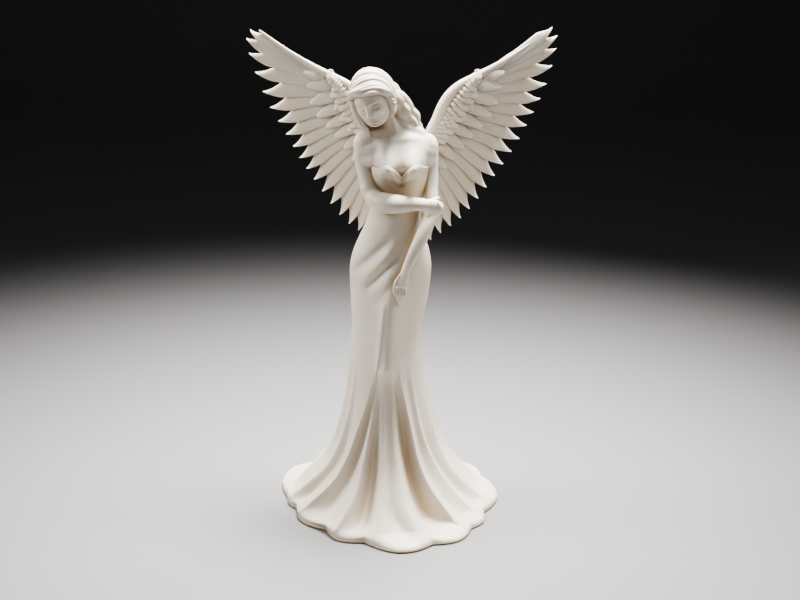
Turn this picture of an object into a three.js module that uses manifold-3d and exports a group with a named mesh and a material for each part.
// A cast-resin angel statuette: a standing woman in a long gown with a fluted hem, head bowed,
// one arm folded across the waist to hold the other, and two raised feathered wings.
// Millimetres, +Z up, the figure faces -Y. The origin is the middle of the underside.
import * as THREE from 'three';
import { mergeVertices } from 'three/addons/utils/BufferGeometryUtils.js';
import Module from 'manifold-3d';

const wasm = await Module();
wasm.setup();

// ---- driving dimensions ----
const GAP = 0.35;               // glue gap between two castings
const PIN_RADIUS = 1.5;         // steel dowel pins
const PIN_CLEARANCE = 0.3;      // radial room of a pin in its hole
const FELT_THICKNESS = 1.0;
const FELT_RADIUS = 56;
const FELT_PROUD = 0.5;         // how far the felt lifts the hem off the shelf
const NECKLINE_TOP = 227;       // height of the bodice at its two peaks
const WAIST = 197;
const BUST_INSET = 1.5;         // the bust casting sits this far inside the bodice
const WING_CENTRE_X = 9.5;      // the wings are a mirrored pair about this plane
const WING_BACK_Y = 17;         // where the wing sheet meets the back
const WING_SWEEP = 0.36;        // how far the wings run back per unit outward
const HEM_RADIUS = 72;          // mean radius of the hem
const BODICE_FLOOR = 209;       // the bodice is dished down to here to take the bust
const GOWN_COLUMNS = 56;
const GOWN_ROWS = 24;
const FEATHER_THICKNESS = 1.6;
const FLIGHT_FEATHERS = 19;
const COVERTS = 10;

const resin = (name) => new THREE.MeshStandardMaterial({
  name, color: 0xe9e3da, roughness: 0.52, metalness: 0,
});
const steel = new THREE.MeshStandardMaterial({ color: 0x9a9a9c, roughness: 0.35, metalness: 1 });
const felt = new THREE.MeshStandardMaterial({ color: 0x2b2a2c, roughness: 1, metalness: 0 });

// ---- solids ----
function solid(geometry) {
  const bare = geometry.clone();
  bare.deleteAttribute('normal');
  bare.deleteAttribute('uv');
  const merged = mergeVertices(bare, 1e-3);
  return new wasm.Manifold(new wasm.Mesh({
    numProp: 3,
    vertProperties: new Float32Array(merged.attributes.position.array),
    triVerts: new Uint32Array(merged.index.array),
  }));
}

function largestBody(shape) {
  return shape.decompose().sort((a, b) => b.volume() - a.volume())[0];
}

const part = new THREE.Group();

function addPiece(name, shape, material) {
  const mesh = largestBody(shape).getMesh();
  const geometry = new THREE.BufferGeometry();
  geometry.setAttribute('position', new THREE.BufferAttribute(mesh.vertProperties, 3));
  geometry.setIndex(new THREE.BufferAttribute(mesh.triVerts, 1));
  const piece = new THREE.Mesh(geometry, material);
  piece.name = name;
  part.add(piece);
}

// A smooth curve through the stations [place, value, value, ...], read at any place.
function stations(rows) {
  const places = rows.map((row) => row[0]);
  const values = rows.flatMap((row) => row.slice(1));
  const spline = new THREE.CubicInterpolant(places, values, rows[0].length - 1);
  const first = places[0];
  const last = places[places.length - 1];
  return (place) => [...spline.evaluate(THREE.MathUtils.clamp(place, first, last))];
}

// ---- the body's sections ----
// height, centre x, half width, depth to the front, depth to the back
const bodySection = stations([
  [0, 0, HEM_RADIUS, HEM_RADIUS, HEM_RADIUS],
  [3, 0, HEM_RADIUS, HEM_RADIUS, HEM_RADIUS],
  [6, -0.5, 65, 66, 64],
  [10, -1, 58, 59, 56],
  [15, -1.2, 52.5, 53, 49],
  [21, -1.2, 47.6, 47, 43],
  [30, -1.2, 41.6, 41, 37],
  [42, -1, 35.4, 35, 32],
  [54, -1.1, 31.5, 31, 29],
  [70, -1.4, 27.3, 27, 26],
  [87, -2, 24.4, 24, 24],
  [104, -1.9, 22.5, 21.5, 22],
  [120, -1, 22.3, 19.5, 21.5],
  [136, 0.1, 23.9, 19, 23],
  [152, 0.9, 25.2, 19, 24],
  [164, 1.3, 24.3, 18, 22.5],
  [174, 1.6, 21.6, 16, 18.5],
  [184, 2.1, 17.4, 13.5, 14],
  [192, 2.8, 14.6, 12, 11.5],
  [200, 3.9, 13.9, 11.5, 11],
  [210, 5.6, 14.8, 12, 12],
  [220, 7, 16.4, 12, 13.4],
  [229, 7.4, 17.8, 11, 14],
  [235, 7.2, 17.6, 9.6, 13.4],
  [239, 6.6, 13.5, 8.4, 11.5],
  [242, 5.8, 9, 7.2, 8.6],
  [246, 4.2, 6.9, 7.4, 5.6],
  [253, 1.4, 6.5, 9.4, 3],
  [260, -2, 6.3, 12, 0.5],
]);

// Swellings of the front: from x, z to x, z, with a half width and a height.
const frontSwellings = [
  { from: [-1, 220], to: [-0.5, 223], width: 6.2, height: 8.5 },     // right breast
  { from: [15, 220], to: [14.5, 223], width: 6.2, height: 8.5 },     // left breast
  { from: [3, 176], to: [4, 168], width: 11, height: 2.6 },          // belly
  { from: [7, 152], to: [1, 116], width: 8, height: 3.6 },           // left thigh
  { from: [-0.3, 106], to: [-0.5, 102], width: 8, height: 2.6 },     // left knee
  { from: [-17, 158], to: [-3, 169], width: 2.6, height: 2.2 },      // draped folds from the hip
  { from: [-12, 150], to: [2, 163], width: 2.6, height: 1.8 },
  { from: [6, 241], to: [17, 239], width: 1.8, height: 1 },          // collar bones
  { from: [4, 241], to: [-6, 238], width: 1.8, height: 1 },
];

function swelling({ from, to, width, height }, x, z) {
  const line = new THREE.Line3(new THREE.Vector3(from[0], from[1]), new THREE.Vector3(to[0], to[1]));
  const point = new THREE.Vector3(x, z);
  const near = line.closestPointToPoint(point, true, new THREE.Vector3());
  return height * Math.exp(-((near.distanceTo(point) / width) ** 2));
}

// ---- the gown's flutes ----
// Each ridge: its angle where it starts high on the gown, its angle at the hem, the hem's reach
// there, and how deep the flute is. Angles run from the front towards +X, in degrees.
const ridges = [
  [-168, -172, 67.5, 0.7],
  [-140, -146, 69, 0.8],
  [-108, -114, 78, 0.7],
  [-66, -78, 69, 0.9],
  [-30, -54, 69, 1.3],
  [-15, -25, 72, 1.2],
  [2, 5, 82.5, 0.8],
  [24, 35, 80, 1.7],
  [40, 56, 73, 1.1],
  [57, 86, 71.5, 0.9],
  [98, 120, 70.5, 0.8],
  [132, 142, 68, 0.8],
  [162, 166, 67.5, 0.7],
];
const FLUTE_START = 118;        // the flutes fade out above this height
const FLUTE_DEPTH = 4.4;
const NOTCH_DEPTH = 6;          // how far the hem steps in between two scallops

// Which flute an angle lies in: whole numbers are ridges, halves are the valleys between them.
function fluteAt(angle, share) {
  const places = ridges.map(([high, low]) => THREE.MathUtils.lerp(low, high, share));
  const count = places.length;
  for (let i = 0; i < count; i += 1) {
    const start = places[i];
    const next = i + 1 < count ? places[i + 1] : places[0] + 360;
    const offset = THREE.MathUtils.euclideanModulo(angle - start, 360);
    if (offset < next - start) return { index: i, part: offset / (next - start) };
  }
  return { index: 0, part: 0 };
}

function flute(angle, z) {
  const share = THREE.MathUtils.smoothstep(z, 0, FLUTE_START);
  const { index, part: across } = fluteAt(angle, share);
  const here = ridges[index];
  const next = ridges[(index + 1) % ridges.length];
  const ease = THREE.MathUtils.smoothstep(across, 0, 1);
  const strength = THREE.MathUtils.lerp(here[3], next[3], ease);
  const reach = THREE.MathUtils.lerp(here[2], next[2], ease);
  const crest = Math.cos(2 * Math.PI * across);
  const scallop = 1 - Math.abs(Math.cos(Math.PI * across)) ** 0.55;
  return { crest: strength * crest, reach, scallop };
}

const fluteFade = stations([[0, 0.15], [3, 0.25], [8, 0.75], [18, 1], [50, 0.85], [85, 0.45], [118, 0]]);

// The neckline dips to a point at the front between two peaks, and runs lower round the back.
function neckline(angle) {
  const side = Math.abs(angle);
  const dip = 7.5 * Math.exp(-((angle / 16) ** 2));
  const back = 11 * THREE.MathUtils.smoothstep(side, 60, 150);
  return NECKLINE_TOP - dip - back;
}

// A point of the body's surface at an angle and a height, moved outwards by grow.
function bodyPoint(angle, z, grow = 0, fluted = true) {
  const [centre, half, front, back] = bodySection(z);
  const turn = THREE.MathUtils.degToRad(angle);
  const forward = Math.cos(turn);
  const depth = forward > 0 ? front : back;
  let outward = grow;
  let reach = 1;
  let rise = 0;
  if (fluted && z < FLUTE_START) {
    const fold = flute(angle, z);
    const apron = 1 - THREE.MathUtils.smoothstep(z, 4, 40);
    reach += apron * (fold.reach / HEM_RADIUS - 1);
    outward -= NOTCH_DEPTH * fold.scallop * (1 - THREE.MathUtils.smoothstep(z, 2, 12));
    const lift = FLUTE_DEPTH * fold.crest * fluteFade(z)[0];
    outward += lift * (1 - 0.6 * apron);
    rise = z > 3.5 ? 0.7 * apron * lift : 0;
  }
  const x = centre + Math.sin(turn) * (half * reach + outward);
  let y = -forward * (depth * reach + outward);
  const facing = THREE.MathUtils.smoothstep(forward, 0, 0.7);
  for (const bump of frontSwellings) y -= facing * swelling(bump, x, z);
  return new THREE.Vector3(x, y, Math.max(0, z + rise));
}

// A closed skin of the body between two heights, as a lathe whose rings follow bodyPoint. Where top is
// given, the rings above the waist are squeezed under that line, and the top is dished.
function bodySkin({ heights, columns, top, grow = 0, fluted = true }) {
  const low = heights[0];
  const high = heights[heights.length - 1];
  const profile = [
    new THREE.Vector2(0, low),
    ...heights.map((z) => new THREE.Vector2(1, z)),
    new THREE.Vector2(0, high),
  ];
  const geometry = new THREE.LatheGeometry(profile, columns);
  const position = geometry.attributes.position;
  for (let i = 0; i < position.count; i += 1) {
    const [side, z, ahead] = [position.getX(i), position.getY(i), position.getZ(i)];
    const angle = THREE.MathUtils.radToDeg(Math.atan2(side, ahead));
    if (Math.hypot(side, ahead) < 0.5) {
      position.setXYZ(i, bodySection(z)[0], 0, top && z === high ? BODICE_FLOOR : z);
    } else {
      const share = (z - WAIST) / (high - WAIST);
      const height = top && share > 0 ? WAIST + share * (top(angle) - WAIST) : z;
      const point = bodyPoint(angle, height, grow, fluted);
      position.setXYZ(i, point.x, point.y, point.z);
    }
  }
  return solid(geometry);
}

// ---- limbs and locks: a rounded tube whose radius changes along a curve ----
function limb(rings, { sides = 9, steps = 12 } = {}) {
  const path = new THREE.CatmullRomCurve3(rings.map(([x, y, z]) => new THREE.Vector3(x, y, z)));
  const radius = stations(rings.map((ring, i) => [i / (rings.length - 1), ring[3]]));
  const geometry = new THREE.CapsuleGeometry(1, steps, 3, sides, steps);
  const position = geometry.attributes.position;
  const frames = path.computeFrenetFrames(steps, false);
  for (let i = 0; i < position.count; i += 1) {
    const along = position.getY(i) + steps / 2;
    const station = THREE.MathUtils.clamp(along, 0, steps);
    const row = Math.round(station);
    const share = station / steps;
    const size = radius(share)[0];
    const point = path.getPoint(share);
    point.addScaledVector(frames.tangents[row], (along - station) * size);
    point.addScaledVector(frames.binormals[row], position.getX(i) * size);
    point.addScaledVector(frames.normals[row], position.getZ(i) * size);
    position.setXYZ(i, point.x, point.y, point.z);
  }
  return largestBody(solid(geometry));
}

function ellipsoid([x, y, z], [a, b, c], [tilt, roll, turn] = [0, 0, 0]) {
  const geometry = new THREE.SphereGeometry(1, 15, 10);
  geometry.scale(a, b, c);
  geometry.rotateX(tilt);
  geometry.rotateY(roll);
  geometry.rotateZ(turn);
  geometry.translate(x, y, z);
  return solid(geometry);
}

const join = (shapes) => shapes.reduce((whole, shape) => whole.add(shape));

// The room a shape needs: the shape shifted a glue gap every way.
function roomFor(shape) {
  const shifts = [[1, 0, 0], [-1, 0, 0], [0, 1, 0], [0, -1, 0], [0, 0, 1], [0, 0, -1]];
  return join([shape, ...shifts.map((way) => shape.translate(way.map((step) => step * GAP)))]);
}

function block([x0, y0, z0], [x1, y1, z1]) {
  const geometry = new THREE.BoxGeometry(x1 - x0, y1 - y0, z1 - z0);
  geometry.translate((x0 + x1) / 2, (y0 + y1) / 2, (z0 + z1) / 2);
  return solid(geometry);
}

// ---- dowel pins ----
function pin(from, to, radius = PIN_RADIUS) {
  const start = new THREE.Vector3(...from);
  const end = new THREE.Vector3(...to);
  const geometry = new THREE.CylinderGeometry(radius, radius, start.distanceTo(end), 12);
  const turn = new THREE.Quaternion().setFromUnitVectors(
    new THREE.Vector3(0, 1, 0), end.clone().sub(start).normalize());
  geometry.applyQuaternion(turn);
  const middle = start.clone().lerp(end, 0.5);
  geometry.translate(middle.x, middle.y, middle.z);
  return solid(geometry);
}

// The hole for a pin runs a little past both of its ends.
function pinHole(from, to) {
  const start = new THREE.Vector3(...from);
  const end = new THREE.Vector3(...to);
  const past = end.clone().sub(start).setLength(PIN_CLEARANCE);
  return pin(start.sub(past).toArray(), end.add(past).toArray(), PIN_RADIUS + PIN_CLEARANCE);
}

const mirrorWing = (x) => 2 * WING_CENTRE_X - x;
const pins = {
  bust_dowel: [[5.5, 0, 190], [7, 0, 232]],
  neck_dowel: [[2.6, -2, 246], [-4, -6, 264]],
  right_shoulder_pin: [[-4, 1, 233.5], [-17.5, 0.5, 232.5]],
  left_shoulder_pin: [[18, 1, 233], [29.5, 1.5, 231]],
  left_wing_pin_upper: [[13, 4.5, 229], [15.5, 18, 231]],
  left_wing_pin_lower: [[12, 4.5, 212], [13.5, 17.3, 213]],
};
for (const height of ['upper', 'lower']) {
  pins[`right_wing_pin_${height}`] = pins[`left_wing_pin_${height}`]
    .map(([x, y, z]) => [mirrorWing(x), y, z]);
}
const holes = join(Object.values(pins).map(([from, to]) => pinHole(from, to)));

// ---- bust: chest, shoulders and neck ----
const bustHeights = [205, 211, 217, 222, 227, 232, 236, 239, 242, 246, 251, 256];
const bust = bodySkin({ heights: bustHeights, columns: 26, grow: -BUST_INSET, fluted: false });
const bustRoom = roomFor(bust);

// ---- gown: hem to neckline, solid, with a recess below for the felt ----
const gownHeights = Array.from({ length: GOWN_ROWS }, (_, row) => {
  const share = row / (GOWN_ROWS - 1);
  return NECKLINE_TOP * (0.45 * share + 0.55 * share ** 2.2);
});
const gownBody = bodySkin({ heights: gownHeights, columns: GOWN_COLUMNS, top: neckline });

function disc(radius, low, high, columns = 48) {
  const geometry = new THREE.CylinderGeometry(radius, radius, high - low, columns);
  geometry.rotateX(Math.PI / 2);
  geometry.translate(0, 0, (low + high) / 2);
  return solid(geometry);
}

const feltRecess = disc(FELT_RADIUS + GAP, -1, FELT_THICKNESS + GAP);
const hemClearance = block([-100, -100, -1], [100, 100, FELT_PROUD]);
const gown = gownBody.subtract(feltRecess).subtract(hemClearance).subtract(bustRoom).subtract(holes);
const upperFigure = gownBody.intersect(block([-60, -60, 128], [60, 60, 260])).add(bust);
const figureRoom = roomFor(upperFigure);

// ---- arms and hands ----
const leftArmRings = [
  [26.5, 2, 233, 5.6], [27.6, 1, 222, 5], [28.2, -2, 208, 4.7], [27.6, -7, 196, 4.9],
  [22.3, -14, 186.5, 4.5], [16.8, -20.5, 175.5, 4.1], [10.4, -26, 163.5, 3.1],
];
const rightArmRings = [
  [-12.5, 2, 233, 6.2], [-16, 0, 224, 6.1], [-15, -4, 212, 5.7], [-10.5, -11, 201.5, 5.9],
  [-1, -19, 201, 5.6], [10, -24.5, 202.3, 4.8], [18, -27, 203.2, 3.9], [23.5, -27, 203.6, 3.5],
];

function finger(root, middle, tip, size) {
  return limb([[...root, size], [...middle, size * 0.95], [...tip, size * 0.7]], { sides: 6, steps: 3 });
}

function leftHand() {
  const palm = ellipsoid([8.4, -27.6, 156.5], [4, 2.3, 6.4], [0.15, 0.12, 0]);
  const fingers = [0, 1, 2, 3].map((i) => {
    const x = 5.6 + i * 1.75;
    const reach = [13.5, 15.2, 14.6, 12][i];
    return finger([x, -28, 153], [x - 0.3, -28.8, 153 - reach / 2], [x, -28, 154 - reach], 1.15);
  });
  const thumb = finger([6, -28, 158], [4.4, -29, 153.5], [4.8, -29.2, 149.5], 1.2);
  return join([palm, ...fingers, thumb]);
}

function rightHand() {
  const palm = ellipsoid([27, -24.5, 203.6], [5, 3.4, 4.4], [0, 0.1, 0.35]);
  const fingers = [0, 1, 2, 3].map((i) => {
    const z = 207 - i * 2.5;
    return finger([28, -23, z], [32.5, -19, z - 0.5], [33.6, -13.5, z - 1.6], 1.5);
  });
  const thumb = finger([26, -22, 206], [29, -18.5, 208.3], [31.5, -16, 208], 1.4);
  return join([palm, ...fingers, thumb]);
}

const leftArm = join([limb(leftArmRings), leftHand()])
  .subtract(figureRoom).subtract(holes);
const leftArmRoom = roomFor(limb(leftArmRings));
const rightArm = join([limb(rightArmRings), rightHand()])
  .subtract(leftArmRoom).subtract(figureRoom).subtract(holes);

// ---- head and hair ----
const HEAD_CENTRE = [-8, -8.5, 267];
const skull = ellipsoid(HEAD_CENTRE, [12.8, 15, 14.4], [0.45, -0.1, 0]);
const jaw = ellipsoid([-7.6, -15, 258.5], [8.2, 8.4, 8.8], [0.5, -0.1, 0]);
const crown = ellipsoid([-8.6, -6, 269.4], [14.6, 16, 12.6], [0.3, -0.1, 0]);
const fringe = limb([[-22, -7, 267, 3], [-17, -19, 269.5, 3.6], [-8, -22.5, 269.5, 3.6],
  [0, -17, 270, 3.8], [4.5, -8, 268, 4]], { sides: 7, steps: 7 });
const locks = [
  [[-20, -4, 269, 4], [-21, -8, 260, 4], [-18, -12, 252, 4.2], [-13, -12, 245.5, 3]],
  [[-16, 2, 268, 6], [-16, 2, 258, 6], [-11, 2, 249, 5], [-6, 3, 245, 4]],
  [[2, -3, 272, 5], [8.5, -3, 264.5, 5.4], [12.5, -2, 256, 5.4], [17.6, -2, 245.5, 3.6]],
  [[-2, 5, 270, 7], [5, 7, 260, 7], [9, 8, 250, 6], [12, 10.4, 241, 3]],
];
const hairShape = join([crown, fringe, ...locks.map((rings) => limb(rings, { sides: 7, steps: 6 }))]);
const head = join([skull, jaw, hairShape]).subtract(figureRoom).subtract(holes);

// ---- wings ----
// Wing places are outward from the wings' mirror plane, and up.
const wingCurve = (places) => new THREE.CatmullRomCurve3(
  places.map(([out, up]) => new THREE.Vector3(out, 0, up)));
const leftTips = wingCurve([
  [93.2, 300], [97, 290], [92, 269], [82, 246], [68, 222], [53, 200.5], [36, 181.5], [17, 168.5],
]);
const rightTips = wingCurve([
  [96.6, 298], [100.2, 291], [95, 276], [86, 251], [72, 228], [55, 202], [36, 178], [16, 168],
]);
const featherRoots = wingCurve([[42, 270], [34, 259], [26, 244], [18.5, 229], [9, 211]]);

// A feather: a long blade that widens to its shoulders and ends in a point, drawn along +X.
function featherShape(length, width) {
  const shape = new THREE.Shape();
  shape.moveTo(0, -width * 0.28);
  shape.lineTo(length * 0.84, -width * 0.5);
  shape.lineTo(length, width * 0.1);
  shape.lineTo(length * 0.8, width * 0.5);
  shape.lineTo(0, width * 0.28);
  shape.closePath();
  return shape;
}

function feather(root, tip, width, layer) {
  const out = tip.x - root.x;
  const up = tip.z - root.z;
  const geometry = new THREE.ExtrudeGeometry(featherShape(Math.hypot(out, up), width), {
    depth: FEATHER_THICKNESS, bevelEnabled: false,
  });
  geometry.translate(0, 0, layer);
  geometry.rotateX(Math.PI / 2);
  geometry.rotateY(-Math.atan2(up, out));
  geometry.translate(root.x, 0, root.z);
  return geometry;
}

// The sheet sweeps back as it runs outwards.
function sweepBack(geometry) {
  const position = geometry.attributes.position;
  for (let i = 0; i < position.count; i += 1) {
    const out = position.getX(i);
    position.setY(i, position.getY(i) + WING_BACK_Y + WING_SWEEP * out);
    position.setX(i, out + WING_CENTRE_X);
  }
  return solid(geometry);
}

function wing(flightTips) {
  const blades = [];
  for (let i = 0; i < FLIGHT_FEATHERS; i += 1) {
    const share = i / (FLIGHT_FEATHERS - 1);
    const layer = -0.5 - 0.5 * (i % 2);
    blades.push(sweepBack(feather(featherRoots.getPoint(share), flightTips.getPoint(share), 10.5, layer)));
  }
  for (let i = 0; i < COVERTS; i += 1) {
    const share = (i + 0.4) / (COVERTS - 0.4);
    const root = featherRoots.getPoint(share);
    const tip = root.clone().lerp(flightTips.getPoint(share), 0.58);
    blades.push(sweepBack(feather(root, tip, 10, 0.4 + 0.25 * (i % 2))));
  }
  const arm = [[7, 205, 3.2], [9, 222, 4.6], [13, 238, 4.2], [19, 252, 3.8], [27, 262, 3.6],
    [41, 270.5, 2.8], [60, 279.5, 2], [80, 291, 1.2], [88, 296, 0.7]];
  const armRings = arm.map(([out, up, r]) => [
    WING_CENTRE_X + out, WING_BACK_Y + WING_SWEEP * out - 0.5, up, r]);
  const shoulderPad = ellipsoid([WING_CENTRE_X + 20, WING_BACK_Y + 6, 243], [14, 3.6, 20], [0, 0.5, 0.33]);
  const root = limb([[WING_CENTRE_X + 4, 14, 208, 4.2], [WING_CENTRE_X + 5, 14.5, 220, 5], [
    WING_CENTRE_X + 6.5, 15, 232, 4.6]], { sides: 8, steps: 5 });
  return join([...blades, limb(armRings, { sides: 8, steps: 14 }), shoulderPad, root]);
}

const leftWing = wing(leftTips);
const rightWing = wing(rightTips).mirror([1, 0, 0]).translate([2 * WING_CENTRE_X, 0, 0]);
const middle = block([WING_CENTRE_X - GAP, -100, 100], [WING_CENTRE_X + GAP, 100, 300]);
const wingRoom = join([figureRoom, middle, roomFor(head), roomFor(leftArm), roomFor(rightArm), holes]);

// ---- the assembly ----
addPiece('gown', gown, resin('gown_resin'));
addPiece('bust', bust.subtract(holes), resin('skin_resin'));
addPiece('head', head, resin('skin_resin'));
addPiece('right_arm', rightArm, resin('skin_resin'));
addPiece('left_arm', leftArm, resin('skin_resin'));
addPiece('left_wing', leftWing.subtract(wingRoom), resin('wing_resin'));
addPiece('right_wing', rightWing.subtract(wingRoom), resin('wing_resin'));
for (const [name, [from, to]] of Object.entries(pins)) addPiece(name, pin(from, to), steel);
addPiece('felt_pad', disc(FELT_RADIUS, 0, FELT_THICKNESS), felt);

export default part;
